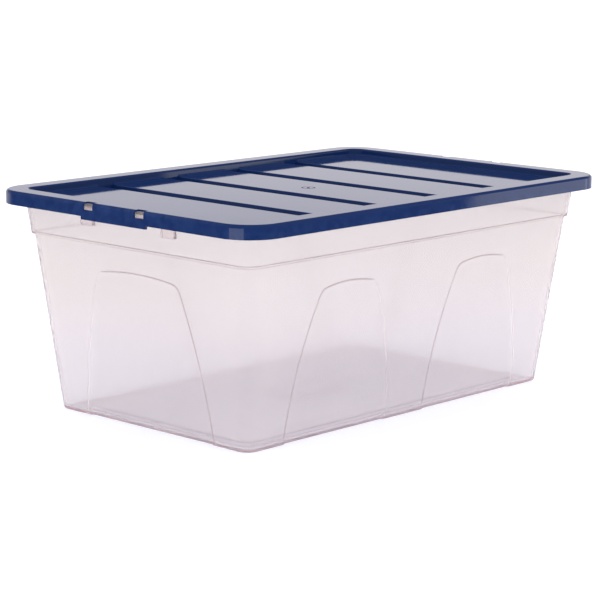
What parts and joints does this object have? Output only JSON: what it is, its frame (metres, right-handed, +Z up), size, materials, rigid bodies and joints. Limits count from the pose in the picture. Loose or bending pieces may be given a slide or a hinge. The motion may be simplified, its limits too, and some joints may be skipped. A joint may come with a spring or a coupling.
{
  "type": "under bed box",
  "caption": "Low, tapered see-through storage tub with a blue drop-on lid that has a raised border, a recessed grooved panel and finger grips, for storing things under a bed.",
  "frame": {"origin": "middle of the footprint, on the plane that the box stands on", "axes": "+X along the long side, +Y along the short side, +Z up"},
  "size_m": [0.595, 0.395, 0.246],
  "materials": {
    "tub_plastic": "clear natural polypropylene, slightly milky, satin",
    "lid_plastic": "navy blue polypropylene, glossy"
  },
  "bodies": {
    "tub": {"tub": "tub_plastic"},
    "lid": {"lid": "lid_plastic"}
  },
  "joints": [
    {"name": "lid_lift", "type": "slide", "parent": "tub", "child": "lid", "axis": [0, 0, 1], "range_m": [0, 0.15]}
  ]
}
